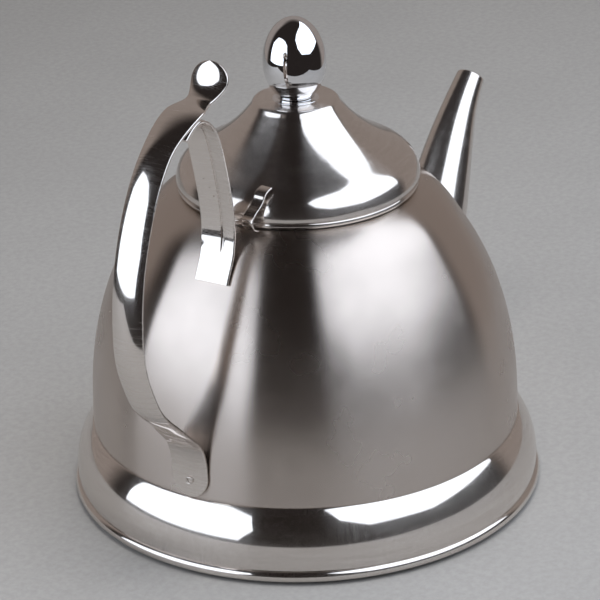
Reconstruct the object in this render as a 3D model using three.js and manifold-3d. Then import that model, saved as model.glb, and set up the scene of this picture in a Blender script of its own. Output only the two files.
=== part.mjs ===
// A one-litre stove kettle for tea, pressed and drawn from stainless sheet, in millimetres.
// The origin is the centre of the base on the surface it stands on, +Z is up, +X runs to the
// spout and the handle stands on -X.
import * as THREE from 'three';
import { mergeVertices } from 'three/addons/utils/BufferGeometryUtils.js';
import Module from 'manifold-3d';

const wasm = await Module();
wasm.setup();

// Driving dimensions
const SHEET = 0.8;            // wall of the drawn shells
const GAP = 0.3;              // clearance between pieces that touch
const BASE_RADIUS = 75;       // outside of the rolled bead at the foot
const SKIRT_TOP = 23;         // seam between the brushed dome and the polished skirt
const DOME_RADIUS = 68;       // dome at that seam
const MOUTH_RADIUS = 35;      // clear radius of the body's mouth
const MOUTH_TOP = 100.8;      // ledge that the infuser's rim rests on
const BEAD_RADIUS = 1.9;      // rolled bead at the foot
const BEAD_HEIGHT = 2.8;      // centre of that bead
const PLATE_BOTTOM = 3.2;     // underside of the bottom plate
const DISC_RADIUS = 64.7;     // aluminium heat spreader
const INFUSER_RADIUS = 34;    // outside of the infuser's wall
const INFUSER_BOTTOM = 44;    // underside of the infuser's floor
const RIM_HEIGHT = 102.25;    // centre of the infuser's rolled rim
const LID_RADIUS = 37.9;      // outside of the lid's turned-down edge
const LID_EDGE = 103.6;       // bottom of that edge
const LID_TOP = 128.8;        // seat of the knob on the lid
const KNOB_RADIUS = 9.8;      // widest part of the egg-shaped knob
const KNOB_TOP = 155.5;       // highest point of the knob
const KNOB_WIDEST = 141.3;    // height of its widest part
const SCREW_RADIUS = 1.8;     // knob screw
const STRAP_WIDTH = 12.6;     // handle strap
const STRAP_SHEET = 1.0;      // thickness of the strap and the bracket
const STRAP_CROWN = 2;        // rise of its arched section over its edges
const THUMB_REST = 12.8;      // widest part of the thumb rest
const BRACKET_WIDTH = 11.6;   // inner strip between the strap and the dome's shoulder
const BRACKET_HOLLOW = 1.6;   // depth of its hollowed face
const HOLE_RADIUS = 1.6;      // infuser perforations
const STRAINER_RADIUS = 2.5;  // holes in the dome behind the spout
const SIDES = 40;             // facets round the large turned pieces
const SMALL_SIDES = 20;       // facets round the small ones
const DOME_STEPS = 13;        // facets up the dome's side

// Materials
const brushed = new THREE.MeshStandardMaterial({ color: 0xa9a5a1, roughness: 0.34, metalness: 1 });
const polished = new THREE.MeshStandardMaterial({ color: 0xc4c0bc, roughness: 0.08, metalness: 1 });
const chrome = new THREE.MeshStandardMaterial({ color: 0xd6d8da, roughness: 0.03, metalness: 1 });
const inside = new THREE.MeshStandardMaterial({ color: 0xb4b0aa, roughness: 0.3, metalness: 1 });
const aluminium = new THREE.MeshStandardMaterial({ color: 0xbfc1c3, roughness: 0.45, metalness: 1 });

const kettle = new THREE.Group();

function piece(name, geometry, material) {
  const mesh = new THREE.Mesh(geometry, material);
  mesh.name = name;
  kettle.add(mesh);
  return mesh;
}

// Curves in the (radius, height) plane

function curve(points, steps) {
  const spline = new THREE.SplineCurve(points.map(([r, z]) => new THREE.Vector2(r, z)));
  return spline.getSpacedPoints(steps);
}

function arc(centreR, centreZ, radius, fromDegrees, toDegrees, steps) {
  const points = [];
  for (let i = 0; i <= steps; i += 1) {
    const angle = THREE.MathUtils.degToRad(fromDegrees + ((toDegrees - fromDegrees) * i) / steps);
    points.push(new THREE.Vector2(centreR + radius * Math.cos(angle), centreZ + radius * Math.sin(angle)));
  }
  return points;
}

// The same curve moved sideways by a distance, to the left of its direction
function offset(points, distance) {
  return points.map((point, i) => {
    const before = points[Math.max(i - 1, 0)];
    const after = points[Math.min(i + 1, points.length - 1)];
    const along = after.clone().sub(before).normalize();
    return new THREE.Vector2(point.x - along.y * distance, point.y + along.x * distance);
  });
}

// Turned piece from an outline that runs up its outside; z is the axis
function turned(outline, sides = SIDES) {
  const points = outline.map((p) => (p.isVector2 ? p : new THREE.Vector2(...p)));
  return new THREE.LatheGeometry(points, sides).rotateX(Math.PI / 2);
}

// Sheet shell: the outside curve runs up, and the inside follows it back down
function shell(outside, thickness, sides = SIDES) {
  const inner = offset(outside, thickness).reverse();
  return turned([...outside, ...inner, outside[0]], sides);
}

// Joins and cuts

function toSolid(geometry) {
  const bare = geometry.clone();
  bare.deleteAttribute('normal');
  bare.deleteAttribute('uv');
  const merged = mergeVertices(bare, 1e-4);
  const index = merged.index.array;
  const kept = [];
  for (let i = 0; i < index.length; i += 3) {
    const [a, b, c] = [index[i], index[i + 1], index[i + 2]];
    if (a !== b && b !== c && c !== a) kept.push(a, b, c);
  }
  return new wasm.Manifold(new wasm.Mesh({
    numProp: 3,
    vertProperties: new Float32Array(merged.attributes.position.array),
    triVerts: new Uint32Array(kept),
  }));
}

function toGeometry(solid) {
  const mesh = solid.getMesh();
  const geometry = new THREE.BufferGeometry();
  geometry.setAttribute('position', new THREE.BufferAttribute(mesh.vertProperties, 3));
  geometry.setIndex(new THREE.BufferAttribute(mesh.triVerts, 1));
  geometry.computeVertexNormals();
  return geometry;
}

// Skin over rings of points with the same count; cap(i) lists the end faces of ring i
function loft(rings, capTriangles) {
  const count = rings[0].length;
  const position = rings.flat().flatMap((p) => [p.x, p.y, p.z]);
  const index = [];
  for (let i = 0; i < rings.length - 1; i += 1) {
    for (let k = 0; k < count; k += 1) {
      const a = i * count + k;
      const b = i * count + ((k + 1) % count);
      index.push(a, b, b + count, a, b + count, a + count);
    }
  }
  const last = (rings.length - 1) * count;
  for (const [a, b, c] of capTriangles) {
    index.push(c, b, a, last + a, last + b, last + c);
  }
  const geometry = new THREE.BufferGeometry();
  geometry.setAttribute('position', new THREE.Float32BufferAttribute(position, 3));
  geometry.setIndex(index);
  geometry.computeVertexNormals();
  return geometry;
}

// Tapered round bar along a path in the plane y = 0, given as [x, z, radius]
function taperedBar(stations, steps, sides) {
  const path = new THREE.CatmullRomCurve3(stations.map(([x, z, r]) => new THREE.Vector3(x, r, z)));
  const rings = [];
  for (let i = 0; i <= steps; i += 1) {
    const here = path.getPoint(i / steps);
    const along = path.getTangent(i / steps);
    const up = new THREE.Vector3(-along.z, 0, along.x).normalize();
    const side = new THREE.Vector3(0, -1, 0);
    const ring = [];
    for (let k = 0; k < sides; k += 1) {
      const angle = (2 * Math.PI * k) / sides;
      ring.push(new THREE.Vector3(here.x, 0, here.z)
        .addScaledVector(up, here.y * Math.cos(angle))
        .addScaledVector(side, here.y * Math.sin(angle)));
    }
    rings.push(ring);
  }
  const fan = [];
  for (let k = 1; k < sides - 1; k += 1) fan.push([0, k, k + 1]);
  return loft(rings, fan);
}

// Strip of sheet along a path in an upright plane. The path is the middle of its outer face.
// crown and width take the distance along the path and its whole length, and give how far the
// outer face stands above the strip's edges, and its width.
function strip({ path, steps, width, crown, thickness, heading, centre, acrossSteps = 6 }) {
  const outward = new THREE.Vector3(Math.cos(heading), Math.sin(heading), 0);
  const across = new THREE.Vector3(-Math.sin(heading), Math.cos(heading), 0);
  const upward = new THREE.Vector3(0, 0, 1);
  const spline = new THREE.SplineCurve(path.map(([s, z]) => new THREE.Vector2(s, z)));
  const length = spline.getLength();
  const rings = [];
  for (let i = 0; i <= steps; i += 1) {
    const t = i / steps;
    const here = spline.getPointAt(t);
    const along = spline.getTangentAt(t);
    const normal = outward.clone().multiplyScalar(along.y).addScaledVector(upward, -along.x);
    const half = width(t * length, length) / 2;
    const rise = crown(t * length, length);
    const outer = [];
    const inner = [];
    for (let k = 0; k <= acrossSteps; k += 1) {
      const v = (2 * k) / acrossSteps - 1;
      const middle = centre.clone()
        .addScaledVector(outward, here.x)
        .addScaledVector(upward, here.y)
        .addScaledVector(across, half * v)
        .addScaledVector(normal, -rise * v * v);
      outer.push(middle);
      inner.unshift(middle.clone().addScaledVector(normal, -thickness));
    }
    rings.push([...outer, ...inner]);
  }
  const last = 2 * acrossSteps + 1;
  const caps = [];
  for (let k = 0; k < acrossSteps; k += 1) {
    caps.push([k, k + 1, last - k - 1], [k, last - k - 1, last - k]);
  }
  return loft(rings, caps);
}

// Width of a strip whose end is rounded over a given depth
function roundedEnd(distance, full, depth) {
  const reach = Math.min(distance / depth, 1);
  return full * Math.max(Math.sqrt(1 - (1 - reach) ** 2), 0.3);
}

// Straight round cutter between two points
function drill(from, to, radius, sides) {
  const direction = to.clone().sub(from);
  const cutter = new THREE.CylinderGeometry(radius, radius, direction.length(), sides);
  const axis = new THREE.Vector3(0, 1, 0);
  const turn = new THREE.Quaternion().setFromUnitVectors(axis, direction.normalize());
  cutter.applyQuaternion(turn);
  const middle = from.clone().add(to).multiplyScalar(0.5);
  return cutter.translate(middle.x, middle.y, middle.z);
}

// Body: brushed dome with the mouth's collar turned down inside

const domeOutside = [
  ...curve([
    [DOME_RADIUS, SKIRT_TOP + GAP], [67.3, 41], [64.3, 58.3], [58.6, 74.5],
    [51.2, 87.8], [45.4, 95.7], [40.5, 99.4], [MOUTH_RADIUS + 2.2, MOUTH_TOP],
  ], DOME_STEPS),
  ...arc(MOUTH_RADIUS + 1.6, MOUTH_TOP - 1.6, 1.6, 90, 180, 2).slice(1),
  new THREE.Vector2(MOUTH_RADIUS, MOUTH_TOP - 5),
];

const spoutStations = [
  [58, 36, 12.6], [68, 40.5, 13.2], [77, 46.5, 12.8], [85.5, 54.5, 11.7], [92.4, 65.3, 10.0],
  [100.4, 79.8, 7.7], [107.8, 90.3, 5.8], [115.0, 97.6, 4.8],
];

function strainerHoles() {
  const centreZ = 41;
  const spacing = 7;
  const holes = [[0, 0]];
  for (let k = 0; k < 6; k += 1) {
    const angle = (Math.PI * k) / 3;
    holes.push([spacing * Math.sin(angle), spacing * Math.cos(angle)]);
  }
  return holes.map(([y, z]) => drill(
    new THREE.Vector3(DOME_RADIUS - 8, y, centreZ + z),
    new THREE.Vector3(DOME_RADIUS + 6, y, centreZ + z),
    STRAINER_RADIUS,
    8,
  ));
}

let dome = toSolid(shell(domeOutside, SHEET));
for (const hole of strainerHoles()) dome = dome.subtract(toSolid(hole));
piece('body_dome', toGeometry(dome), brushed);

// Polished skirt below the seam: a quarter round of 22 mm that ends above the bead
const SKIRT_ARC = 22;
const SKIRT_FOOT = 5;
const skirtCentreZ = 8;
const skirtTopAngle = THREE.MathUtils.radToDeg(Math.asin((SKIRT_TOP - skirtCentreZ) / SKIRT_ARC));
const skirtOutside = [
  new THREE.Vector2(74, SKIRT_FOOT),
  ...arc(74 - SKIRT_ARC, skirtCentreZ, SKIRT_ARC, 0, skirtTopAngle, 5),
];
piece('base_skirt', shell(skirtOutside, SHEET), polished);

// Bottom plate whose edge is rolled into the bead that carries the skirt
const beadCentreR = BASE_RADIUS - BEAD_RADIUS;
const plateThickness = 0.8;
piece('bottom_plate', turned([
  [0, PLATE_BOTTOM],
  ...arc(beadCentreR, BEAD_HEIGHT, BEAD_RADIUS, 168, 497, 9),
  [beadCentreR - BEAD_RADIUS - 1, PLATE_BOTTOM + plateThickness],
  [0, PLATE_BOTTOM + plateThickness],
]), polished);

// Encapsulated base: aluminium disc inside a stainless cap
piece('heat_disc', turned([
  [0, 0.6 + GAP],
  [DISC_RADIUS, 0.6 + GAP],
  [DISC_RADIUS, PLATE_BOTTOM - GAP],
  [0, PLATE_BOTTOM - GAP],
]), aluminium);
piece('base_cap', turned([
  [0, 0],
  [DISC_RADIUS, 0],
  [DISC_RADIUS + 0.9, 0.7],
  [DISC_RADIUS + 0.9, PLATE_BOTTOM - GAP],
  [DISC_RADIUS + GAP, PLATE_BOTTOM - GAP],
  [DISC_RADIUS + GAP, 0.6],
  [0, 0.6],
]), inside);

// Spout: tapered tube with an oblique tip, seated on the dome and open to the strainer holes

function spout() {
  const wall = spoutStations.map(([x, z, r]) => [x, z, r - SHEET]);
  const [tipX, tipZ] = spoutStations.at(-1);
  const beyond = [tipX + 6.6, tipZ + 6.0, spoutStations.at(-1)[2] - SHEET];
  let solid = toSolid(taperedBar(spoutStations, 14, SMALL_SIDES));
  solid = solid.subtract(toSolid(taperedBar([[50, 32, 12.4], ...wall, beyond], 16, SMALL_SIDES)));
  const clearance = offset(domeOutside.slice(0, DOME_STEPS + 1), -GAP);
  const filled = turned([[0, 10], [DOME_RADIUS + GAP, 10], ...clearance, [0, clearance.at(-1).y]]);
  solid = solid.subtract(toSolid(filled));
  return toGeometry(solid);
}
piece('spout', spout(), polished);

// Handle: an arched strap spot-welded to the dome just above the skirt, with a thumb rest

const handleHeading = Math.PI;
const strapPath = [
  [69.4, 24.0], [69.4, 37.0], [71.3, 42.0], [75.9, 46.8], [81.4, 51.9], [89.0, 59.0],
  [94.7, 69.3], [98.0, 79.6], [98.4, 90.0], [97.5, 100.0], [95.3, 110.4], [91.5, 120.8],
  [86.0, 130.9], [77.0, 140.8], [70.5, 144.4], [62.0, 147.0], [56.2, 147.5], [52.0, 148.3],
  [49.3, 150.3], [47.8, 153.2], [46.2, 157.2],
];

// The strap narrows where it is arched, is pinched below the thumb rest and flares at it
function strapWidth(distance, length) {
  const fromTop = length - distance;
  const { smoothstep } = THREE.MathUtils;
  const arched = smoothstep(distance, 18, 34) * smoothstep(fromTop, 22, 40);
  const pinched = 1 - smoothstep(fromTop, 10, 18);
  const flared = 1 - smoothstep(fromTop, 3.5, 9);
  const neck = STRAP_WIDTH - 2.1 * arched - 2.6 * pinched;
  const full = neck + (THUMB_REST - neck) * flared;
  const weldEnd = roundedEnd(distance, STRAP_WIDTH, STRAP_WIDTH / 2);
  const thumbEnd = roundedEnd(fromTop, full, 3);
  return Math.min(full, weldEnd, thumbEnd);
}

function strapCrown(distance, length) {
  const fromTop = length - distance;
  const rise = THREE.MathUtils.smoothstep(distance, 16, 44);
  const fall = THREE.MathUtils.smoothstep(fromTop, 12, 46);
  return STRAP_CROWN * rise * (0.25 + 0.75 * fall);
}

piece('handle_strap', strip({
  path: strapPath,
  steps: 46,
  width: strapWidth,
  crown: strapCrown,
  thickness: STRAP_SHEET,
  heading: handleHeading,
  centre: new THREE.Vector3(),
}), polished);

// Bracket: a hollowed strip hooked under the top of the strap, welded to the dome's shoulder

const bracketPath = [
  [52.3, 88.4], [50.3, 92.2], [47.9, 96.6], [46.6, 101.2], [46.5, 107.0], [47.6, 115.0],
  [49.6, 124.0], [51.8, 132.2], [54.4, 138.2], [58.0, 142.1], [62.0, 143.5], [66.0, 142.6],
  [69.6, 140.4],
];

function bracketCrown(distance) {
  return -BRACKET_HOLLOW * THREE.MathUtils.smoothstep(distance, 7, 20);
}

piece('handle_bracket', strip({
  path: bracketPath,
  steps: 26,
  width: () => BRACKET_WIDTH,
  crown: bracketCrown,
  thickness: STRAP_SHEET,
  heading: handleHeading,
  centre: new THREE.Vector3(),
}), polished);

// Infuser: perforated basket that hangs in the mouth by its rolled rim

function infuserWall() {
  const top = RIM_HEIGHT - 1.4;
  let solid = toSolid(turned([
    [INFUSER_RADIUS - 0.7, INFUSER_BOTTOM],
    [INFUSER_RADIUS, INFUSER_BOTTOM],
    [INFUSER_RADIUS, top],
    [INFUSER_RADIUS - 0.7, top],
    [INFUSER_RADIUS - 0.7, INFUSER_BOTTOM],
  ]));
  const rows = 3;
  const columns = 12;
  for (let row = 0; row < rows; row += 1) {
    for (let column = 0; column < columns; column += 1) {
      const angle = (2 * Math.PI * (column + 0.5 * (row % 2))) / columns;
      const z = INFUSER_BOTTOM + 10 + row * 12;
      const toward = new THREE.Vector3(Math.cos(angle), Math.sin(angle), 0);
      solid = solid.subtract(toSolid(drill(
        toward.clone().multiplyScalar(INFUSER_RADIUS - 4).setZ(z),
        toward.clone().multiplyScalar(INFUSER_RADIUS + 4).setZ(z),
        HOLE_RADIUS,
        6,
      )));
    }
  }
  return toGeometry(solid);
}
piece('infuser_wall', infuserWall(), inside);

function infuserFloor() {
  const radius = INFUSER_RADIUS - 0.7 - GAP;
  let solid = toSolid(turned([
    [0, INFUSER_BOTTOM], [radius, INFUSER_BOTTOM],
    [radius, INFUSER_BOTTOM + 0.7], [0, INFUSER_BOTTOM + 0.7],
  ]));
  for (const [count, ring] of [[1, 0], [6, 10], [12, 20]]) {
    for (let k = 0; k < count; k += 1) {
      const angle = (2 * Math.PI * k) / count;
      const x = ring * Math.cos(angle);
      const y = ring * Math.sin(angle);
      const below = new THREE.Vector3(x, y, INFUSER_BOTTOM - 3);
      const above = new THREE.Vector3(x, y, INFUSER_BOTTOM + 4);
      solid = solid.subtract(toSolid(drill(below, above, HOLE_RADIUS, 6)));
    }
  }
  return toGeometry(solid);
}
piece('infuser_floor', infuserFloor(), inside);

// Rolled rim: a bead on the mouth's ledge with a short web in to the wall
const rimBead = 1.15;
const rimCentreR = 36.5;
piece('infuser_rim', turned([
  [INFUSER_RADIUS - 0.7, RIM_HEIGHT - 1.1],
  ...arc(rimCentreR, RIM_HEIGHT, rimBead, 205, 515, 7),
  [INFUSER_RADIUS - 0.7, RIM_HEIGHT - 0.3],
  [INFUSER_RADIUS - 0.7, RIM_HEIGHT - 1.1],
]), polished);

// Spring clip on the rim that snaps over the lid's edge
const clipAngle = THREE.MathUtils.degToRad(191.3);
piece('lid_clip', strip({
  path: [
    [-1.2, 102.2], [1.2, 102.5], [3.0, 104.0], [3.4, 106.2], [2.0, 108.4],
    [-0.6, 109.9], [-3.2, 110.8], [-5.2, 112.2], [-6.4, 114.2],
  ],
  steps: 16,
  width: () => 5,
  crown: () => 0,
  thickness: 0.5,
  heading: THREE.MathUtils.degToRad(155),
  centre: new THREE.Vector3(Math.cos(clipAngle), Math.sin(clipAngle), 0).multiplyScalar(40.4),
  acrossSteps: 2,
}), polished);

// Lid: a bell-shaped shell with a turned-down edge, a locating collar and the knob

const lidOutside = [
  new THREE.Vector2(LID_RADIUS, LID_EDGE),
  ...curve([
    [LID_RADIUS, LID_EDGE + 1.8], [37.2, 107.8], [35.2, 110.6], [31.0, 113.2], [26.0, 116.2],
    [20.8, 120.2], [16.6, 124.4], [13.6, 128.2],
  ], 9),
  ...arc(12.0, 128.0, 1.6, 40, 90, 2),
  new THREE.Vector2(8, LID_TOP + 0.15),
  new THREE.Vector2(SCREW_RADIUS + GAP, LID_TOP),
];
piece('lid_shell', shell(lidOutside, SHEET), polished);

const collarRadius = 32.4;
piece('lid_collar', shell([
  new THREE.Vector2(collarRadius, 97),
  new THREE.Vector2(collarRadius, 106.5),
  new THREE.Vector2(collarRadius + 0.8, 108.2),
  new THREE.Vector2(collarRadius + 2.2, 109.1),
], 0.6), inside);

// Knob: a solid egg with a narrow flat foot and a bore for its screw
const footRadius = 5.7;
const knobBottom = LID_TOP + 1 + 2 * GAP;
const boreRadius = SCREW_RADIUS + GAP;
const boreTop = 141;

function knobOutline() {
  const outline = [
    [boreRadius, knobBottom], [footRadius, knobBottom],
  ];
  const below = KNOB_WIDEST - (knobBottom + 0.3);
  const above = KNOB_TOP - KNOB_WIDEST;
  const start = Math.acos(footRadius / KNOB_RADIUS);
  for (let i = 0; i <= 4; i += 1) {
    const angle = start * (1 - i / 4);
    const drop = (below * Math.sin(angle)) / Math.sin(start);
    outline.push([KNOB_RADIUS * Math.cos(angle), KNOB_WIDEST - drop]);
  }
  for (let i = 1; i <= 6; i += 1) {
    const angle = (Math.PI / 2) * (i / 6);
    outline.push([i === 6 ? 0 : KNOB_RADIUS * Math.cos(angle), KNOB_WIDEST + above * Math.sin(angle)]);
  }
  return [[0, boreTop], [boreRadius, boreTop], ...outline];
}
piece('lid_knob', turned(knobOutline(), 28), chrome);

piece('knob_ferrule', turned([
  [boreRadius, LID_TOP + 0.15 + GAP],
  [7.2, LID_TOP + 0.15 + GAP],
  [7.2, LID_TOP + 0.9],
  [6.2, LID_TOP + 1.3],
  [boreRadius, LID_TOP + 1.3],
  [boreRadius, LID_TOP + 0.15 + GAP],
], SMALL_SIDES), chrome);

const lidUnderside = LID_TOP - SHEET;
const washerBottom = lidUnderside - GAP - 0.8;
piece('knob_washer', turned([
  [boreRadius, washerBottom],
  [5, washerBottom],
  [5, lidUnderside - GAP],
  [boreRadius, lidUnderside - GAP],
  [boreRadius, washerBottom],
], SMALL_SIDES), inside);

const headTop = washerBottom - GAP;
piece('knob_screw', turned([
  [0, headTop - 2],
  [3, headTop - 2],
  [4, headTop - 1],
  [4, headTop],
  [SCREW_RADIUS, headTop],
  [SCREW_RADIUS, boreTop - 1.5],
  [0, boreTop - 1.5],
], SMALL_SIDES), inside);

export default kettle;
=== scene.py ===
"""Stainless stove kettle for tea: visual model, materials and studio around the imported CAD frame.

Lengths are in millimetres in the outlines below and in metres once MM has scaled them.
The frame's own boxes give the radii and heights that the outlines hang on.
"""
import math

import bpy
import numpy as np
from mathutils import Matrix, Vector


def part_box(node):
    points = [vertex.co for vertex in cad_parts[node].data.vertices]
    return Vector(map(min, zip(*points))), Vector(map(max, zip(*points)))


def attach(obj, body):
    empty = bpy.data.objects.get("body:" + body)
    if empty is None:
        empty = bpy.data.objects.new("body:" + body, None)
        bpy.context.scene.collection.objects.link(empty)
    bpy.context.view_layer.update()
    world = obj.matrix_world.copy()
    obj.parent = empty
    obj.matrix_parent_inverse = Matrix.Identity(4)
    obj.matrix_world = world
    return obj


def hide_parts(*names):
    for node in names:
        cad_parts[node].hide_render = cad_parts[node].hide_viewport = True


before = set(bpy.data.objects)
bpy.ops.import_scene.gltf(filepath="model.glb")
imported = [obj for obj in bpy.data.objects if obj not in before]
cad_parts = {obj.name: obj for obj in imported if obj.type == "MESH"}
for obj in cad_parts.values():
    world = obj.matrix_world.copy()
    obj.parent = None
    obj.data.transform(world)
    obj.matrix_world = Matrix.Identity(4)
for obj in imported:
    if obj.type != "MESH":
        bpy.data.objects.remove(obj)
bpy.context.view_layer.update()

MM = 0.001
FINE = 256          # facets round the large turned pieces
SMALL = 96          # facets round the small ones


def box_mm(node):
    """Largest radius, lowest and highest point of a turned CAD node, in millimetres."""
    low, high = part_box(node)
    return high.x / MM, low.z / MM, high.z / MM


BASE_R, _, _ = box_mm("bottom_plate")
SKIRT_R, SKIRT_LOW, SKIRT_HIGH = box_mm("base_skirt")
DOME_R, DOME_LOW, DOME_HIGH = box_mm("body_dome")
LID_R, LID_LOW, LID_HIGH = box_mm("lid_shell")
KNOB_R, KNOB_LOW, KNOB_HIGH = box_mm("lid_knob")
FERRULE_R, FERRULE_LOW, FERRULE_HIGH = box_mm("knob_ferrule")
CAP_R, _, CAP_HIGH = box_mm("base_cap")
DISC_R, DISC_LOW, DISC_HIGH = box_mm("heat_disc")
RIM_R, RIM_LOW, RIM_HIGH = box_mm("infuser_rim")
WALL_R, WALL_LOW, WALL_HIGH = box_mm("infuser_wall")
COLLAR_R, COLLAR_LOW, _ = box_mm("lid_collar")
WASHER_R, WASHER_LOW, WASHER_HIGH = box_mm("knob_washer")
SCREW_R, SCREW_LOW, SCREW_HIGH = box_mm("knob_screw")
SHEET = 0.8         # wall of the drawn shells
INSERT_SHEET = 0.7  # perforated sheet of the infuser
INSERT_HOLE = 0.75  # radius of its holes
DOME_STEPS = 90     # steps along the dome's wall

# The camera's azimuth round the kettle, in degrees from +X; the studio is laid out from it
CAMERA_AZIMUTH = 211.3


# ---------------------------------------------------------------- curves


def spline(points, steps):
    """Smooth curve through points, with even curvature, as an array of steps + 1 points."""
    points = np.array(points, float)
    count = len(points)
    knots = np.concatenate([[0], np.cumsum(np.linalg.norm(np.diff(points, axis=0), axis=1))])
    gaps = np.diff(knots)
    matrix = np.eye(count)
    right = np.zeros_like(points)
    for i in range(1, count - 1):
        matrix[i, i - 1:i + 2] = gaps[i - 1], 2 * (gaps[i - 1] + gaps[i]), gaps[i]
        slope_after = (points[i + 1] - points[i]) / gaps[i]
        slope_before = (points[i] - points[i - 1]) / gaps[i - 1]
        right[i] = 6 * (slope_after - slope_before)
    bend = np.linalg.solve(matrix, right)
    at = np.linspace(0, knots[-1], steps + 1)
    cell = np.clip(np.searchsorted(knots, at, side="right") - 1, 0, count - 2)
    gap = gaps[cell][:, None]
    a = (knots[cell + 1] - at)[:, None] / gap
    b = 1 - a
    inner = ((a**3 - a) * bend[cell] + (b**3 - b) * bend[cell + 1]) * gap**2 / 6
    return a * points[cell] + b * points[cell + 1] + inner


def arc(centre_r, centre_z, radius, start, end, steps):
    """Points along a circle in the (radius, height) plane; angles in degrees."""
    angles = np.radians(np.linspace(start, end, steps + 1))
    return np.stack([centre_r + radius * np.cos(angles), centre_z + radius * np.sin(angles)], 1)


def offset(points, distance):
    """The curve moved to the left of its direction."""
    along = np.gradient(np.array(points, float), axis=0)
    along /= np.linalg.norm(along, axis=1)[:, None]
    return points + distance * np.stack([-along[:, 1], along[:, 0]], 1)


def smoothstep(x, low, high):
    t = np.clip((np.asarray(x, float) - low) / (high - low), 0, 1)
    return t * t * (3 - 2 * t)


def bump(x, centre, width):
    """Smooth hill of height 1."""
    return np.exp(-(((np.asarray(x, float) - centre) / width) ** 2))


# ---------------------------------------------------------------- meshes


def make_mesh(name, vertices, faces, brush, sharp=35):
    """Mesh object from points in millimetres. brush holds the direction of brushing for materials."""
    mesh = bpy.data.meshes.new(name)
    mesh.from_pydata([tuple(v) for v in np.asarray(vertices, float) * MM], [], faces)
    layer = mesh.attributes.new("brush", "FLOAT_VECTOR", "POINT")
    layer.data.foreach_set("vector", np.asarray(brush, np.float32).ravel())
    mesh.validate()
    mesh.polygons.foreach_set("use_smooth", [True] * len(mesh.polygons))
    mesh.set_sharp_from_angle(angle=math.radians(sharp))
    piece = bpy.data.objects.new(name, mesh)
    bpy.context.scene.collection.objects.link(piece)
    return piece


def turned(name, outline, segments=FINE, sharp=35):
    """Turned solid: the outline is a closed loop, or runs from the axis to the axis, anticlockwise."""
    outline = np.array(outline, float)
    on_axis = outline[0, 0] == 0 and outline[-1, 0] == 0
    length = np.concatenate([[0], np.cumsum(np.linalg.norm(np.diff(outline, axis=0), axis=1))])
    vertices, brush, start = [], [], []
    for (radius, height), run in zip(outline, length):
        start.append(len(vertices))
        ring = 1 if radius == 0 else segments
        for k in range(ring):
            angle = 2 * math.pi * k / segments
            vertices.append((radius * math.cos(angle), radius * math.sin(angle), height))
            brush.append((math.cos(angle), math.sin(angle), run / 100))
    faces = []
    rows = len(outline)
    for i in range(rows if not on_axis else rows - 1):
        a, b = start[i], start[(i + 1) % rows]
        for k in range(segments):
            n = (k + 1) % segments
            if outline[i, 0] == 0:
                faces.append((a, b + n, b + k))
            elif outline[(i + 1) % rows, 0] == 0:
                faces.append((a + k, a + n, b))
            else:
                faces.append((a + k, a + n, b + n, b + k))
    return make_mesh(name, vertices, faces, brush, sharp)


def shell_outline(outside, thickness, lip=0.3):
    """Closed outline of a sheet shell whose two edges are rounded off."""
    outside = np.array(outside, float)
    inside = offset(outside, thickness)[::-1]

    def edge(a, b):
        middle = (a + b) / 2
        half = (a - b) / 2
        ahead = np.array([half[1], -half[0]])
        angles = np.radians([30, 60, 90, 120, 150])
        return [middle + half * math.cos(t) - ahead * math.sin(t) * lip / 0.5 for t in angles]

    return np.concatenate([
        outside,
        edge(outside[-1], inside[0]),
        inside,
        edge(inside[-1], outside[0]),
    ])


def strip(name, path, along, across, width, rise, thickness, heading, centre=(0, 0), relief=None):
    """Bent strip of sheet. The path is the middle of its outer face in an upright plane, and
    width, rise and relief are functions of the distance along it (relief also of the place across)."""
    line = spline(path, 1200)
    run = np.concatenate([[0], np.cumsum(np.linalg.norm(np.diff(line, axis=0), axis=1))])
    length = run[-1]
    at = along(length)
    s = np.interp(at, run, line[:, 0])
    z = np.interp(at, run, line[:, 1])
    slope = np.gradient(line, run, axis=0)
    ds = np.interp(at, run, slope[:, 0])
    dz = np.interp(at, run, slope[:, 1])
    norm = np.hypot(ds, dz)
    ds, dz = ds / norm, dz / norm
    v = np.linspace(-1, 1, across + 1)
    edge = np.radians(np.linspace(0, 180, 9))[1:-1]
    out = np.array([math.cos(heading), math.sin(heading)])
    side = np.array([-math.sin(heading), math.cos(heading)])
    round_off = min(0.32, thickness / 2)
    vertices, brush = [], []
    for i, distance in enumerate(at):
        half = width(distance, length) / 2
        lift = rise(distance, length)
        flat = max(half - round_off, 0.05)
        top = -lift * v**2
        bent = relief(distance, v * half, length) if relief else 0 * v
        lean = 2 * lift / max(half, 1)
        loop = [(flat * x, t + b) for x, t, b in zip(v, top, bent)]
        for e in edge:
            reach = round_off * math.sin(e)
            depth = -thickness / 2 * (1 - math.cos(e))
            loop.append((flat + reach + depth * lean * 0.2, -lift + bent[-1] + depth))
        loop += [(flat * x, t + b - thickness) for x, t, b in zip(v[::-1], top[::-1], bent[::-1])]
        for e in edge:
            reach = round_off * math.sin(e)
            depth = -thickness / 2 * (1 + math.cos(e))
            loop.append((-flat - reach - depth * lean * 0.2, -lift + bent[0] + depth))
        for across_mm, up_mm in loop:
            out_mm = s[i] + up_mm * dz[i]
            x = centre[0] + out[0] * out_mm + side[0] * across_mm
            y = centre[1] + out[1] * out_mm + side[1] * across_mm
            vertices.append((x, y, z[i] - up_mm * ds[i]))
            brush.append((across_mm / 100, distance / 100, 0))
    ring = len(vertices) // len(at)
    faces = []
    for i in range(len(at) - 1):
        for k in range(ring):
            n = (k + 1) % ring
            faces.append((i * ring + k, i * ring + n, (i + 1) * ring + n, (i + 1) * ring + k))
    faces.append(tuple(range(ring))[::-1])
    faces.append(tuple((len(at) - 1) * ring + k for k in range(ring)))
    return make_mesh(name, vertices, faces, brush, 40)


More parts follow.
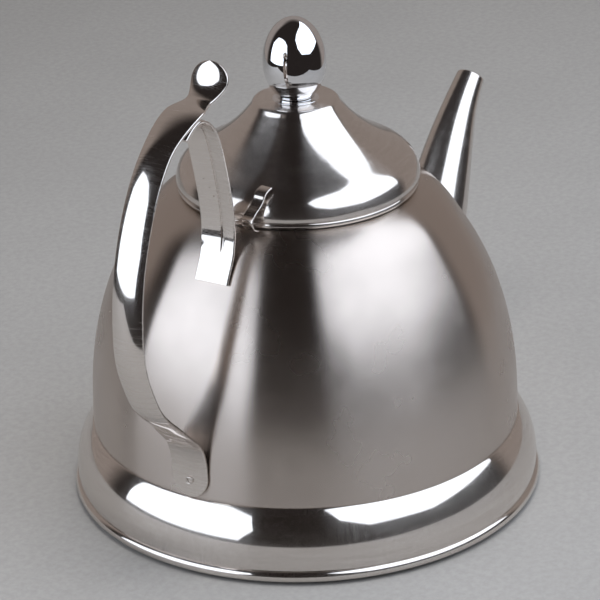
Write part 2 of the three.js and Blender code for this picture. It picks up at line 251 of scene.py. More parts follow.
def cut_away(piece, cutter):
    """Cuts the cutter's volume out of the piece, and removes the cutter."""
    cut = piece.modifiers.new("cut", "BOOLEAN")
    cut.operation = "DIFFERENCE"
    cut.solver = "EXACT"
    cut.object = cutter
    bpy.context.view_layer.objects.active = piece
    bpy.ops.object.modifier_apply(modifier=cut.name)
    bpy.data.objects.remove(cutter)


def add_piece(piece, body, node, material):
    """Gives the piece its material, ties it to the body and hides the CAD node it stands for."""
    piece.data.materials.append(material)
    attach(piece, body)
    if node:
        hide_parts(node)
    return piece


# ---------------------------------------------------------------- materials


def node_tree(name):
    material = bpy.data.materials.new(name)
    material.use_nodes = True
    nodes = material.node_tree.nodes
    return material, nodes, material.node_tree.links, nodes["Principled BSDF"]


def mapped_noise(nodes, links, source, scale, detail, roughness=0.6):
    """Noise on coordinates stretched by scale, so that it draws lines along the short directions."""
    mapping = nodes.new("ShaderNodeMapping")
    mapping.inputs["Scale"].default_value = scale
    links.new(source, mapping.inputs["Vector"])
    noise = nodes.new("ShaderNodeTexNoise")
    noise.inputs["Scale"].default_value = 1
    noise.inputs["Detail"].default_value = detail
    noise.inputs["Roughness"].default_value = roughness
    links.new(mapping.outputs["Vector"], noise.inputs["Vector"])
    return noise.outputs["Fac"]


def ramp(nodes, links, source, low, high, dark, light):
    """Source values from low to high, mapped to dark to light (numbers or colours)."""
    node = nodes.new("ShaderNodeMapRange")
    node.interpolation_type = "SMOOTHSTEP"
    node.inputs["From Min"].default_value = low
    node.inputs["From Max"].default_value = high
    node.inputs["To Min"].default_value = dark
    node.inputs["To Max"].default_value = light
    links.new(source, node.inputs["Value"])
    return node.outputs["Result"]


def blend_colour(nodes, links, factor, first, second):
    node = nodes.new("ShaderNodeMix")
    node.data_type = "RGBA"
    node.inputs["A"].default_value = (*first, 1)
    node.inputs["B"].default_value = (*second, 1)
    links.new(factor, node.inputs["Factor"])
    return node.outputs["Result"]


def multiply(nodes, links, first, second):
    node = nodes.new("ShaderNodeMath")
    node.operation = "MULTIPLY"
    links.new(first, node.inputs[0])
    links.new(second, node.inputs[1])
    return node.outputs["Value"]


def steel(name, dark, light, rough, haze, share, lines, anisotropy, bump_height):
    """Stainless steel whose surface is part mirror and part fine hairline. rough is the roughness of
    the mirror and haze that of the hairlines, which cover a share of it; lines scales the brush
    coordinates along and across the hairlines."""
    material, nodes, links, shader = node_tree(name)
    brush = nodes.new("ShaderNodeAttribute")
    brush.attribute_name = "brush"
    place = nodes.new("ShaderNodeTexCoord").outputs["Object"]
    hair = mapped_noise(nodes, links, brush.outputs["Vector"], lines, 4)
    fine_lines = tuple(40 * s for s in lines)
    finest = mapped_noise(nodes, links, brush.outputs["Vector"], fine_lines, 0)
    broad_lines = tuple(0.31 * s for s in lines)
    streak = mapped_noise(nodes, links, brush.outputs["Vector"], broad_lines, 2)
    cloud = mapped_noise(nodes, links, place, (38, 38, 38), 3)
    tone = ramp(nodes, links, multiply(nodes, links, hair, streak), 0.12, 0.42, 0, 1)
    links.new(blend_colour(nodes, links, tone, dark, light), shader.inputs["Base Color"])
    edge = 0.5 - (share - 0.5) * 0.4
    cut = ramp(nodes, links, finest, edge - 0.04, edge + 0.04, rough, haze)
    patchy = ramp(nodes, links, multiply(nodes, links, streak, cloud), 0.12, 0.4, 0.86, 1.16)
    links.new(multiply(nodes, links, cut, patchy), shader.inputs["Roughness"])
    shader.inputs["Metallic"].default_value = 1
    if anisotropy:
        shader.inputs["Anisotropic"].default_value = anisotropy
        shader.inputs["Anisotropic Rotation"].default_value = 0.25
        tangent = nodes.new("ShaderNodeTangent")
        tangent.direction_type = "RADIAL"
        tangent.axis = "Z"
        links.new(tangent.outputs["Tangent"], shader.inputs["Tangent"])
    relief = nodes.new("ShaderNodeBump")
    relief.inputs["Distance"].default_value = bump_height * MM
    relief.inputs["Strength"].default_value = 1
    links.new(hair, relief.inputs["Height"])
    links.new(relief.outputs["Normal"], shader.inputs["Normal"])
    return material


ROUND = (9, 9, 230)         # hairlines that run round the axis
COARSE_ROUND = (4, 4, 110)  # the same, from a coarser brush
ACROSS = (16, 260, 16)      # hairlines that run across a strip
BROWN_STEEL = (0.52, 0.46, 0.42)
PALE_STEEL = (0.70, 0.63, 0.575)
MIRROR_DARK = (0.70, 0.65, 0.61)
MIRROR_LIGHT = (0.77, 0.72, 0.68)
STRAP_DARK = (0.73, 0.68, 0.64)
CHROME_DARK = (0.78, 0.78, 0.79)
CHROME_LIGHT = (0.84, 0.84, 0.85)
DISC_DARK = (0.66, 0.67, 0.68)
DISC_LIGHT = (0.76, 0.77, 0.78)

brushed_steel = steel("brushed_steel", BROWN_STEEL, PALE_STEEL, 0.24, 0.26, 0.5, COARSE_ROUND, 1.0,
                      0.0006)
mirror_steel = steel("mirror_steel", MIRROR_DARK, MIRROR_LIGHT, 0.06, 0.33, 0.18, ROUND, 0.98, 0.00002)
lid_steel = steel("lid_steel", MIRROR_DARK, MIRROR_LIGHT, 0.09, 0.36, 0.22, ROUND, 0.98, 0.00005)
spout_steel = steel("spout_steel", MIRROR_DARK, MIRROR_LIGHT, 0.1, 0.32, 0.4, ROUND, 0, 0.00006)
strap_steel = steel("strap_steel", STRAP_DARK, MIRROR_LIGHT, 0.07, 0.26, 0.22, ACROSS, 0, 0.00003)
chrome = steel("knob_chrome", CHROME_DARK, CHROME_LIGHT, 0.02, 0.05, 0.2, ROUND, 0, 0.00001)
inner_steel = steel("inner_steel", BROWN_STEEL, PALE_STEEL, 0.2, 0.36, 0.6, ROUND, 0.6, 0.0008)
disc_metal = steel("disc_aluminium", DISC_DARK, DISC_LIGHT, 0.3, 0.46, 0.5, ROUND, 0.5, 0.002)


# ---------------------------------------------------------------- body


def dome_outside():
    wall = spline([
        (DOME_R, DOME_LOW), (67.3, 41), (64.3, 58.3), (58.6, 74.5),
        (51.2, 87.8), (45.4, 95.7), (40.5, 99.4), (37.2, 100.8),
    ], DOME_STEPS)
    lip = arc(36.6, DOME_HIGH - 1.6, 1.6, 85, 180, 10)
    return np.concatenate([wall[:-1], lip, [(35, DOME_HIGH - 5)]])


def make_dome():
    """Brushed dome, with the strainer holes that open into the spout."""
    dome = turned("dome", shell_outline(dome_outside(), SHEET))
    spacing, hole_radius, middle_height = 7, 2.5, 41
    holes = [(0, 0)] + [
        (spacing * math.sin(math.pi * k / 3), spacing * math.cos(math.pi * k / 3)) for k in range(6)
    ]
    cutters = []
    for y, z in holes:
        bpy.ops.mesh.primitive_cylinder_add(
            vertices=32, radius=hole_radius * MM, depth=14 * MM,
            location=((DOME_R - 1) * MM, y * MM, (middle_height + z) * MM),
            rotation=(0, math.pi / 2, 0))
        cutters.append(bpy.context.object)
    for cutter in cutters:
        cut_away(dome, cutter)
    return add_piece(dome, "pot", "body_dome", brushed_steel)


def make_base():
    skirt_arc = 22
    centre_r = SKIRT_R - skirt_arc
    centre_z = SKIRT_LOW + 3
    top_angle = math.degrees(math.asin((SKIRT_HIGH - centre_z) / skirt_arc))
    outside = np.concatenate([
        [(SKIRT_R, SKIRT_LOW)],
        arc(centre_r, centre_z, skirt_arc, 0, top_angle, 40),
    ])
    add_piece(turned("skirt", shell_outline(outside, SHEET)), "pot", "base_skirt",
              mirror_steel)

    bead = 1.9
    centre = BASE_R - bead
    plate_low, plate_high = 3.2, 4.0
    plate = np.concatenate([
        [(0, plate_low), (40, plate_low)],
        arc(centre, 2.8, bead, 168, 497, 40),
        [(centre - bead - 1, plate_high), (40, plate_high), (0, plate_high)],
    ])
    add_piece(turned("foot_bead_plate", plate), "pot", "bottom_plate", mirror_steel)

    disc = [
        (0, DISC_LOW), (DISC_R - 0.2, DISC_LOW), (DISC_R, DISC_LOW + 0.2),
        (DISC_R, DISC_HIGH - 0.2), (DISC_R - 0.2, DISC_HIGH), (0, DISC_HIGH),
    ]
    add_piece(turned("heat_spreader", disc), "pot", "heat_disc", disc_metal)

    cap = np.concatenate([
        [(0, 0), (30, 0), (CAP_R - 1.6, 0)],
        arc(CAP_R - 1.2, 1.2, 1.2, -80, 0, 8),
        [(CAP_R, CAP_HIGH), (DISC_R + 0.3, CAP_HIGH), (DISC_R + 0.3, 0.6), (0, 0.6)],
    ])
    add_piece(turned("base_cap_shell", cap), "pot", "base_cap", inner_steel)


# ---------------------------------------------------------------- spout

# Middle of the tube (distance from the axis, height) and its outer radius
SPOUT_STATIONS = [
    (58, 36, 12.6), (68, 40.5, 13.2), (77, 46.5, 12.8), (85.5, 54.5, 11.7), (92.4, 65.3, 10.0),
    (100.4, 79.8, 7.7), (107.8, 90.3, 5.8), (115.0, 97.6, 4.8),
]


def make_spout():
    """Tapered tube that starts on the dome's surface, with a small weld fillet, and ends in a thin lip."""
    steps, sides = 240, 112
    path = spline(SPOUT_STATIONS, steps)
    run = np.concatenate([[0], np.cumsum(np.linalg.norm(np.diff(path[:, :2], axis=0), axis=1))])
    tangent = np.gradient(path[:, :2], run, axis=0)
    tangent /= np.linalg.norm(tangent, axis=1)[:, None]
    dome_line = dome_outside()[:DOME_STEPS + 1]

    def surface(angle, wall):
        """Points of the tube's skin along one line of constant angle."""
        up = np.stack([-tangent[:, 1], tangent[:, 0]], 1)
        radius = path[:, 2] - wall
        x = path[:, 0] + up[:, 0] * radius * math.cos(angle)
        z = path[:, 1] + up[:, 1] * radius * math.cos(angle)
        y = -radius * math.sin(angle)
        return np.stack([x, y, z], 1)

    def from_dome(line, count, clear):
        """The part of a line outside the dome, resampled."""
        reach = np.hypot(line[:, 0], line[:, 1])
        skin = np.interp(line[:, 2], dome_line[:, 1], dome_line[:, 0]) + clear
        gap = reach - skin
        outside = np.nonzero(gap > 0)[0][0]
        share = gap[outside] / (gap[outside] - gap[outside - 1])
        first = outside - share
        at = np.linspace(0, 1, count) ** 1.15
        places = first + (steps - first) * at
        index = np.arange(len(line))
        return np.stack([np.interp(places, index, line[:, k]) for k in range(3)], 1)

    count = 110
    clear = 0.32        # gap at the dome, which the weld fillet covers
    outer, inner = [], []
    for k in range(sides):
        angle = 2 * math.pi * k / sides
        outer.append(from_dome(surface(angle, 0), count, clear))
        inner.append(from_dome(surface(angle, SHEET), count, clear))
    outer = np.array(outer)
    inner = np.array(inner)
    # Weld fillet: the root flares a little against the dome
    fillet_rows, fillet = 8, 0.45
    for j in range(fillet_rows):
        flare = fillet * (1 - j / fillet_rows) ** 2
        centre_line = outer[:, j].mean(0)
        out = outer[:, j] - centre_line
        outer[:, j] += out / np.linalg.norm(out, axis=1)[:, None] * flare
    lip = []
    for t in np.radians([35, 70, 110, 145]):
        middle = (outer[:, -1] + inner[:, -1]) / 2
        half = (outer[:, -1] - inner[:, -1]) / 2
        ahead = np.array([tangent[-1, 0], 0, tangent[-1, 1]]) * SHEET / 2
        lip.append(middle + half * math.cos(t) + ahead * math.sin(t))
    rings = [outer[:, j] for j in range(count)] + lip + [inner[:, j] for j in range(count - 1, -1, -1)]
    vertices = np.concatenate(rings)
    brush = []
    for j in range(len(rings)):
        for k in range(sides):
            angle = 2 * math.pi * k / sides
            brush.append((0.4 * math.cos(angle), 0.4 * math.sin(angle), j / count))
    faces = []
    for j in range(len(rings)):
        m = (j + 1) % len(rings)
        for k in range(sides):
            n = (k + 1) % sides
            faces.append((j * sides + k, j * sides + n, m * sides + n, m * sides + k))
    spout = make_mesh("spout_tube", vertices, faces, brush, 50)
    add_piece(spout, "pot", "spout", spout_steel)


# ---------------------------------------------------------------- handle

STRAP_PATH = [
    (69.4, 24.0), (69.4, 37.0), (71.3, 42.0), (75.9, 46.8), (81.4, 51.9), (89.0, 59.0),
    (94.7, 69.3), (98.0, 79.6), (98.4, 90.0), (97.5, 100.0), (95.3, 110.4), (91.5, 120.8),
    (86.0, 130.9), (77.0, 140.8), (70.5, 144.4), (62.0, 147.0), (56.2, 147.5), (52.0, 148.3),
    (49.3, 150.3), (47.8, 153.2), (46.4, 156.8),
]
BRACKET_PATH = [
    (52.3, 88.4), (50.3, 92.2), (47.9, 96.6), (46.6, 101.2), (46.5, 107.0), (47.6, 115.0),
    (49.6, 124.0), (51.8, 132.2), (54.4, 138.2), (58.0, 142.1), (62.0, 143.5), (66.0, 142.6),
    (69.6, 140.4),
]
STRAP_WIDTH = 12.6
THUMB_WIDTH = 12.8
THUMB_END = 6.2     # length of the rounding at the thumb rest's end
BRACKET_WIDTH = 11.6
STRAP_SHEET = 1.0
HANDLE_HEADING = math.pi


def rounded_end(distance, full, depth):
    """Width at a distance from an elliptic end, which is full after the given depth."""
    reach = min(max(distance / depth, 0), 1)
    return full * max(math.sqrt(1 - (1 - reach) ** 2), 0.05)


def strap_width(distance, length):
    """Full at the tab, narrower along the arch, pinched under the thumb rest and flared at it."""
    top = length - distance
    arched = smoothstep(distance, 18, 34) * smoothstep(top, 22, 40)
    pinched = 1 - smoothstep(top, 13, 21)
    flared = 1 - smoothstep(top, 5, 13)
    neck = STRAP_WIDTH - 2.1 * arched - 3.6 * pinched
    full = neck + (THUMB_WIDTH - neck) * flared
    tab = rounded_end(distance, STRAP_WIDTH, STRAP_WIDTH / 2)
    return min(full, tab, rounded_end(top, full, THUMB_END))


def strap_rise(distance, length):
    """How far the middle of the strap's cross-section stands above its edges."""
    top = length - distance
    return 1.15 * smoothstep(distance, 16, 44) * (0.35 + 0.65 * smoothstep(top, 12, 46))


def strap_relief(distance, across, length):
    """Two press creases above the weld tab, the hollow between them and the crowned thumb rest."""
    middle = 1 - smoothstep(np.abs(across), 2.6, 4.6)
    upper = 0.16 * bump(distance + 0.22 * across, 25.4, 0.4)
    lower = 0.14 * bump(distance - 0.16 * across, 18.2, 0.36)
    hollow = -0.35 * bump(distance, 21.8, 2.4)
    top = length - distance
    crown = 1.0 * (1 - smoothstep(top, 6, 13)) * (1 - (across / 6.4) ** 2)
    return (upper + lower) * middle + hollow * middle + crown


def strap_stations(length):
    """Closer together at both ends and over the creases."""
    ends = np.linspace(0, 1, 26) ** 2 * 6
    crease = np.arange(16, 28, 0.16)
    return np.unique(np.concatenate([
        ends, np.arange(6, 16, 0.5), crease, np.arange(28, length - 6, 0.6), length - ends,
    ]).round(4))


def make_handle():
    strap = strip("handle_strap_sheet", STRAP_PATH, strap_stations, 44, strap_width, strap_rise,
                  STRAP_SHEET, HANDLE_HEADING, relief=strap_relief)
    add_piece(strap, "pot", "handle_strap", strap_steel)

    def bracket_relief(distance, across, length):
        """Shallow fold along the strip, off its middle, and three small tool marks."""
        fold = across - 1.5
        ends = smoothstep(distance, 6, 13) * smoothstep(length - distance, 7, 14)
        total = 0.13 * ends * (np.sqrt(fold**2 + 0.05) - 1.4 * bump(fold, 0, 0.42))
        marks = [(33.5, -2.6, 0.35), (30.5, -1.2, 0.3), (27.5, -0.2, 0.32)]
        for place, off, size in marks:
            total = total - 0.16 * bump(distance, place, size) * bump(across, off, size)
        return total

    def bracket_stations(length):
        return np.linspace(0, length, int(length / 0.3))

    bracket = strip("handle_bracket_sheet", BRACKET_PATH, bracket_stations, 60, lambda d, n: BRACKET_WIDTH,
                    lambda d, n: 0, STRAP_SHEET, HANDLE_HEADING, relief=bracket_relief)
    add_piece(bracket, "pot", "handle_bracket", strap_steel)

    # Spot weld on the tab: a small ring pressed into the sheet
    weld_out, weld_height = STRAP_PATH[0][0], 29.4
    bpy.ops.mesh.primitive_torus_add(
        major_radius=1.05 * MM, minor_radius=0.16 * MM, major_segments=48, minor_segments=12,
        location=(-weld_out * MM, 0, weld_height * MM), rotation=(0, math.pi / 2, 0))
    weld = bpy.context.object
    weld.name = "weld_ring"
    for polygon in weld.data.polygons:
        polygon.use_smooth = True
    add_piece(weld, "pot", None, strap_steel)


# ---------------------------------------------------------------- infuser


def perforated_wall():
    """Rolled sheet with round holes, made of square cells that each hold one hole."""
    columns, rows, around = 72, 18, 16
    low, high = WALL_LOW, WALL_HIGH
    pitch = 2 * math.pi * WALL_R / columns
    plain_band = 5
    first = low + plain_band
    vertices, faces, brush = [], [], []

    def add(column, z):
        """One point on each side of the sheet; returns the outer one's number."""
        angle = column * 2 * math.pi / columns
        for radius in (WALL_R, WALL_R - INSERT_SHEET):
            vertices.append((radius * math.cos(angle), radius * math.sin(angle), z))
            brush.append((math.cos(angle), math.sin(angle), z / 100))
        return len(vertices) - 2

    edge = {}

    def corner(column, z):
        key = (round(column % columns, 4), round(z, 4))
        if key not in edge:
            edge[key] = add(column, z)
        return edge[key]

    def both_sides(loop):
        faces.append(tuple(loop))
        faces.append(tuple(i + 1 for i in reversed(loop)))

    per_side = around // 4
    for row in range(rows):
        for column in range(columns):
            z0 = first + row * pitch
            centre = (column + 0.5, z0 + pitch / 2)
            rim, border = [], []
            for k in range(around):
                angle = 2 * math.pi * (k + 0.5) / around - math.pi * 0.75 - math.pi / around
                rim.append(add(centre[0] + INSERT_HOLE * math.cos(angle) / pitch,
                               centre[1] + INSERT_HOLE * math.sin(angle)))
                side, step = divmod(k, per_side)
                t = step / per_side
                du, dv = [(t, 0), (1, t), (1 - t, 1), (0, 1 - t)][side]
                border.append(corner(column + du, z0 + dv * pitch))
            for k in range(around):
                n = (k + 1) % around
                both_sides([border[k], border[n], rim[n], rim[k]])
                faces.append((rim[k], rim[n], rim[n] + 1, rim[k] + 1))
    top = first + rows * pitch
    for column in range(columns):
        for step in range(per_side):
            c0, c1 = column + step / per_side, column + (step + 1) / per_side
            for z0, z1 in ((low, first), (top, high)):
                both_sides([corner(c0, z0), corner(c1, z0), corner(c1, z1), corner(c0, z1)])
            faces.append((corner(c1, low), corner(c0, low), corner(c0, low) + 1, corner(c1, low) + 1))
            faces.append((corner(c0, high), corner(c1, high), corner(c1, high) + 1, corner(c0, high) + 1))
    return make_mesh("infuser_mesh_wall", vertices, faces, brush, 40)


def perforated_floor(radius, z):
    """Flat round sheet with rings of holes, cut from a turned disc."""
    top = z + INSERT_SHEET
    disc = turned("infuser_mesh_floor", [(0, z), (radius, z), (radius, top), (0, top)], 128)
    around = 12
    places = [(0.0, 0.0)]
    for ring, count in ((4.5, 8), (9, 14), (13.5, 20), (18, 26), (22.5, 32), (27, 38)):
        for k in range(count):
            angle = 2 * math.pi * k / count
            places.append((ring * math.cos(angle), ring * math.sin(angle)))
    vertices, faces = [], []
    for x, y in places:
        start = len(vertices)
        for height in (z - 1, z + 2):
            for k in range(around):
                angle = 2 * math.pi * k / around
                hole_x = x + INSERT_HOLE * math.cos(angle)
                hole_y = y + INSERT_HOLE * math.sin(angle)
                vertices.append((hole_x, hole_y, height))
        upper = start + around
        faces.append(tuple(start + k for k in reversed(range(around))))
        faces.append(tuple(upper + k for k in range(around)))
        for k in range(around):
            n = (k + 1) % around
            faces.append((start + k, start + n, upper + n, upper + k))
    cutter = make_mesh("floor_cutter", vertices, faces, np.zeros((len(vertices), 3)))
    cut_away(disc, cutter)
    return disc


def make_infuser():
    add_piece(perforated_wall(), "infuser", "infuser_wall", inner_steel)
    floor_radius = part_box("infuser_floor")[1].x / MM
    add_piece(perforated_floor(floor_radius, WALL_LOW), "infuser", "infuser_floor",
              inner_steel)
    bead = 1.15
    centre = RIM_R - bead
    middle = (RIM_HIGH + RIM_LOW) / 2
    rim = np.concatenate([
        [(WALL_R - INSERT_SHEET, middle - 1.1)],
        arc(centre, middle, bead, 205, 515, 32),
        [(WALL_R - INSERT_SHEET, middle - 0.3)],
    ])
    add_piece(turned("infuser_rim_bead", rim), "infuser", "infuser_rim", mirror_steel)

    clip_angle, clip_heading = math.radians(191.3), math.radians(175)
    clip_r, clip_width, clip_sheet = 40.4, 4, 0.5
    clip_centre = (clip_r * math.cos(clip_angle), clip_r * math.sin(clip_angle))
    clip_path = [
        (0.2, 101.9), (1.7, 102.5), (2.9, 104.0), (3.0, 105.9), (1.9, 107.6), (0.0, 108.8),
        (-1.8, 109.9), (-3.0, 111.2), (-4.2, 112.6), (-6.0, 113.4), (-7.2, 113.6),
    ]
    clip = strip("lid_clip_spring", clip_path, lambda n: np.linspace(0, n, 120), 14,
                 lambda d, n: clip_width, lambda d, n: 0, clip_sheet, clip_heading, centre=clip_centre)
    add_piece(clip, "infuser", "lid_clip", strap_steel)


# ---------------------------------------------------------------- lid


def make_lid():
    wall = spline([
        (LID_R, LID_LOW + 1.8), (37.2, 107.8), (35.2, 110.6), (31.0, 113.2), (26.0, 116.2),
        (20.8, 120.2), (16.6, 124.4), (13.6, 128.2),
    ], 90)
    seat = LID_HIGH - 0.15
    outside = np.concatenate([
        [(LID_R, LID_LOW)],
        wall[:-1],
        arc(12.0, 128.0, 1.6, 32, 88, 10),
        [(8, seat + 0.1), (2.1, seat)],
    ])
    add_piece(turned("lid_bell", shell_outline(outside, SHEET)), "lid", "lid_shell",
              lid_steel)

    collar_radius = COLLAR_R - 2.2      # its top flares out to COLLAR_R under the lid
    collar = spline([
        (collar_radius, COLLAR_LOW), (collar_radius, 101.5), (collar_radius, 106.2),
        (collar_radius + 0.8, 108.2), (COLLAR_R, 109.1),
    ], 24)
    collar_sheet = 0.6
    add_piece(turned("lid_locating_collar", shell_outline(collar, collar_sheet)), "lid", "lid_collar",
              inner_steel)


def make_knob():
    """Egg, foot ring, washer and screw. The egg is two half ellipses that meet where it is widest."""
    widest = 141.3
    top_of_bore = 141
    bore = 2.1
    above = KNOB_HIGH - widest
    neck_radius = 5.7
    neck_top = KNOB_LOW + 0.3
    below = widest - neck_top
    start = math.degrees(math.acos(neck_radius / KNOB_R))
    angles = np.radians(np.linspace(-start, 0, 30))
    lower = np.stack([
        KNOB_R * np.cos(angles),
        widest + below * np.sin(angles) / math.sin(math.radians(start)),
    ], 1)
    angles = np.radians(np.linspace(0, 90, 44))[1:]
    upper = np.stack([KNOB_R * np.cos(angles), widest + above * np.sin(angles)], 1)
    upper[-1, 0] = 0
    neck = [(bore, KNOB_LOW), (neck_radius - 0.15, KNOB_LOW), (neck_radius, KNOB_LOW + 0.1)]
    outline = np.concatenate([[(0, top_of_bore), (bore, top_of_bore)], neck, lower, upper])
    add_piece(turned("knob_egg", outline, SMALL * 2), "lid", "lid_knob", chrome)

    ferrule = np.concatenate([
        [(bore, FERRULE_LOW), (FERRULE_R - 0.2, FERRULE_LOW)],
        arc(FERRULE_R - 0.2, FERRULE_LOW + 0.2, 0.2, -70, 80, 8),
        [(6.7, FERRULE_LOW + 0.45), (6.1, FERRULE_LOW + 0.6), (5.85, FERRULE_LOW + 0.8)],
        arc(5.6, FERRULE_HIGH - 0.2, 0.2, 0, 90, 5),
        [(bore, FERRULE_HIGH)],
    ])
    add_piece(turned("knob_foot_ring", ferrule, SMALL), "lid", "knob_ferrule", chrome)

    washer = [
        (bore, WASHER_LOW), (WASHER_R - 0.15, WASHER_LOW), (WASHER_R, WASHER_LOW + 0.15),
        (WASHER_R, WASHER_HIGH - 0.15), (WASHER_R - 0.15, WASHER_HIGH), (bore, WASHER_HIGH),
    ]
    add_piece(turned("knob_screw_washer", washer, SMALL), "lid", "knob_washer",
              inner_steel)

    shank = 1.8
    head_top = SCREW_LOW + 2
    crown = 1.4
    angles = np.radians(np.linspace(-90, 0, 12))
    head = np.stack([SCREW_R * np.cos(angles) ** 0.7, SCREW_LOW + crown + crown * np.sin(angles)], 1)
    head[0, 0] = 0
    thread = []
    pitch, thread_depth = 0.7, 0.3
    turns = int((SCREW_HIGH - head_top - 1) / pitch)
    for k in range(turns):
        base = head_top + 0.6 + k * pitch
        thread += [(shank, base), (shank - thread_depth, base + pitch / 2)]
    outline = np.concatenate([head, [(SCREW_R, head_top), (shank, head_top)], thread,
                              [(shank - thread_depth, SCREW_HIGH), (0, SCREW_HIGH)]])
    screw = turned("knob_fixing_screw", outline, SMALL)
    bpy.ops.mesh.primitive_cube_add(size=1, location=(0, 0, SCREW_LOW * MM))
    slot_cutter = bpy.context.object
    slot_length, slot_width, slot_height = 9 * MM, 0.9 * MM, 1.6 * MM
    slot_cutter.scale = (slot_length, slot_width, slot_height)
    cut_away(screw, slot_cutter)
    add_piece(screw, "lid", "knob_screw", inner_steel)


make_dome()
make_base()
make_spout()
make_handle()
make_infuser()
make_lid()
make_knob()


# ---------------------------------------------------------------- studio

TOWARD = Vector((math.cos(math.radians(CAMERA_AZIMUTH)), math.sin(math.radians(CAMERA_AZIMUTH)), 0))
RIGHT = Vector((-TOWARD.y, TOWARD.x, 0))
UP = Vector((0, 0, 1))


def studio(right, toward, up):
    """Point given as seen from the camera: to its right, towards it and up, in metres."""
    return RIGHT * right + TOWARD * toward + UP * up


def polar(azimuth, distance, height):
    """Studio point from an azimuth (0 towards the camera, positive to its right)."""
    angle = math.radians(azimuth)
    return studio(distance * math.sin(angle), distance * math.cos(angle), height)


def sky(azimuth, elevation):
    """Direction from the kettle to a point of the studio."""
    height = math.radians(elevation)
    return polar(azimuth, math.cos(height), math.sin(height))


def softbox(name, middle, distance, corners, radiance, tint):
    """Flat glowing panel that faces the lid. Its middle and its corners are azimuths and elevations
    as seen from the lid, and radiance is how bright its face looks."""
    lid = Vector((0, 0, LID_LOW * MM))
    axis = sky(*middle)
    points = []
    for corner in corners:
        ray = sky(*corner)
        points.append(lid + ray * (distance / ray.dot(axis)))
    material, nodes, links, shader = node_tree(name)
    shader.inputs["Base Color"].default_value = (0, 0, 0, 1)
    shader.inputs["Specular IOR Level"].default_value = 0
    shader.inputs["Emission Color"].default_value = (*tint, 1)
    shader.inputs["Emission Strength"].default_value = radiance
    mesh = bpy.data.meshes.new(name)
    mesh.from_pydata(points, [], [tuple(range(len(points)))])
    mesh.materials.append(material)
    panel = bpy.data.objects.new(name, mesh)
    panel.visible_camera = False
    bpy.context.scene.collection.objects.link(panel)


def fill(name, centre, target, size, radiance, tint):
    """Soft light for the floor, which shows in no reflection. Its radiance is how bright its face is."""
    data = bpy.data.lights.new(name, "AREA")
    data.size = size
    data.energy = radiance * math.pi * size * size
    data.color = tint
    light = bpy.data.objects.new(name, data)
    light.location = centre
    light.rotation_euler = (target - centre).to_track_quat("-Z", "Y").to_euler()
    light.visible_camera = False
    light.visible_glossy = False
    bpy.context.scene.collection.objects.link(light)


DAYLIGHT = (0.92, 1.0, 1.12)
PANEL_GLOW = 1.95
softbox("left_softbox", (-62, 18), 0.536, [
    (-93, -6), (-94, 20), (-82, 36), (-62, 40), (-44, 39), (-30, 31), (-26, 10), (-32, -6),
], PANEL_GLOW, DAYLIGHT)
softbox("right_softbox", (60, 45), 0.494, [
    (15, 26), (9, 45), (18, 58), (45, 68), (90, 69), (122, 65), (150, 53), (128, 43), (113, 28),
    (106, 14), (60, 9), (28, 13),
], PANEL_GLOW, DAYLIGHT)
fill("floor_fill", studio(0.35, -0.8, 1.2), studio(0.1, -0.6, 0), 0.9, 2.3, (0.98, 1.0, 1.02))
fill("front_fill", studio(0, 0.35, 1.0), studio(0.05, 0.25, 0), 0.4, 10, (1.0, 0.99, 0.97))


PAPER_DARK = (0.275, 0.264, 0.253)
PAPER_LIGHT = (0.385, 0.370, 0.355)


def paper_material():
    """Matt grey background paper with a faint fibre."""
    material, nodes, links, shader = node_tree("paper")
    place = nodes.new("ShaderNodeTexCoord").outputs["Object"]
    fibre = mapped_noise(nodes, links, place, (420, 420, 420), 5, 0.7)
    cloud = mapped_noise(nodes, links, place, (14, 14, 14), 3)
    grain = ramp(nodes, links, fibre, 0.3, 0.7, 0.55, 1)
    shade = ramp(nodes, links, cloud, 0.3, 0.7, 0.85, 1)
    colour = blend_colour(nodes, links, multiply(nodes, links, grain, shade), PAPER_DARK, PAPER_LIGHT)
    links.new(colour, shader.inputs["Base Color"])
    shader.inputs["Roughness"].default_value = 0.9
    shader.inputs["Specular IOR Level"].default_value = 0.2
    return material


def floor_sheet(name, corners, height, material):
    """Flat sheet whose corners are given as seen from the camera: to its right and towards it."""
    mesh = bpy.data.meshes.new(name)
    mesh.from_pydata([tuple(studio(r, t, height)) for r, t in corners], [], [(0, 1, 2, 3)])
    mesh.materials.append(material)
    floor = bpy.data.objects.new(name, mesh)
    bpy.context.scene.collection.objects.link(floor)
    return floor


paper = paper_material()
# The sheet that the kettle stands on ends in front of it; the rest of the floor stays out of reflections
floor_sheet("floor", [(-0.5, 0.26), (-0.5, -3), (0.34, -3), (0.34, 0.26)], 0, paper)
surround = floor_sheet("floor_surround", [(-6, 6), (-6, -6), (6, -6), (6, 6)], -0.00005, paper)
surround.visible_glossy = False


ROOM_DARK = (0.022, 0.018, 0.017)
BACKDROP = (0.30, 0.262, 0.245)
PLAIN_GREY = (0.36, 0.36, 0.36)


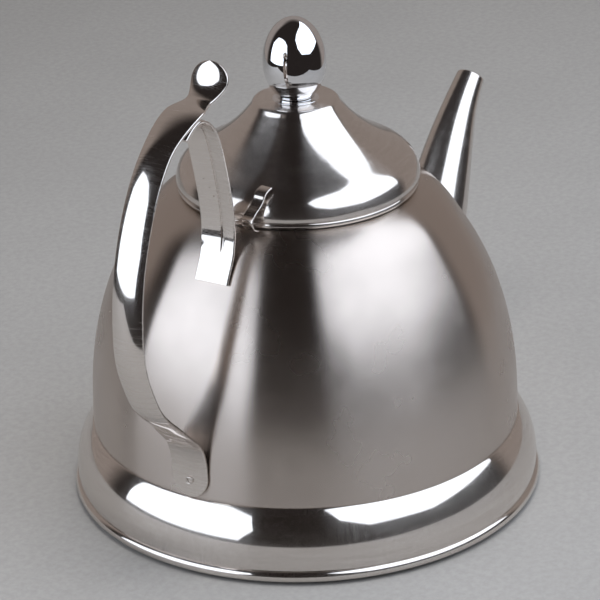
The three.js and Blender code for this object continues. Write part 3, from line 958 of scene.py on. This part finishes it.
def make_world():
    """Dark room with a warm grey backdrop behind the kettle; the camera itself sees plain pale grey."""
    world = bpy.data.worlds.new("studio")
    bpy.context.scene.world = world
    world.use_nodes = True
    nodes, links = world.node_tree.nodes, world.node_tree.links
    room = nodes["Background"]
    place = nodes.new("ShaderNodeTexCoord").outputs["Generated"]
    facing = nodes.new("ShaderNodeVectorMath")
    facing.operation = "DOT_PRODUCT"
    facing.inputs[1].default_value = -TOWARD
    links.new(place, facing.inputs[0])
    behind = ramp(nodes, links, facing.outputs["Value"], 0.25, 0.5, 0, 1)
    split = nodes.new("ShaderNodeSeparateXYZ")
    links.new(place, split.inputs["Vector"])
    low = ramp(nodes, links, split.outputs["Z"], 0.6, 0.95, 1, 0)
    paper_seen = multiply(nodes, links, behind, low)
    links.new(blend_colour(nodes, links, paper_seen, ROOM_DARK, BACKDROP), room.inputs["Color"])
    room.inputs["Strength"].default_value = 1
    seen = nodes.new("ShaderNodeBackground")
    seen.inputs["Color"].default_value = (*PLAIN_GREY, 1)
    path = nodes.new("ShaderNodeLightPath")
    pick = nodes.new("ShaderNodeMixShader")
    links.new(path.outputs["Is Camera Ray"], pick.inputs["Fac"])
    links.new(room.outputs["Background"], pick.inputs[1])
    links.new(seen.outputs["Background"], pick.inputs[2])
    links.new(pick.outputs["Shader"], nodes["World Output"].inputs["Surface"])


def make_camera():
    """Long lens from the front left of the handle, looking down at the kettle with a slight roll."""
    data = bpy.data.cameras.new("camera")
    data.lens = 180
    data.sensor_width = 36
    camera = bpy.data.objects.new("camera", data)
    distance, height = 0.8624, 0.4562
    pitch, yaw, roll = 24.614, -0.046, -1.886
    camera.location = TOWARD * distance + UP * height
    look = (-TOWARD) * math.cos(math.radians(yaw)) + RIGHT * math.sin(math.radians(yaw))
    look = look * math.cos(math.radians(pitch)) - UP * math.sin(math.radians(pitch))
    camera.rotation_euler = look.to_track_quat("-Z", "Y").to_euler()
    camera.rotation_euler.rotate_axis("Z", math.radians(roll))
    bpy.context.scene.collection.objects.link(camera)
    bpy.context.scene.camera = camera


make_world()
make_camera()
bpy.context.scene.view_settings.view_transform = "Standard"
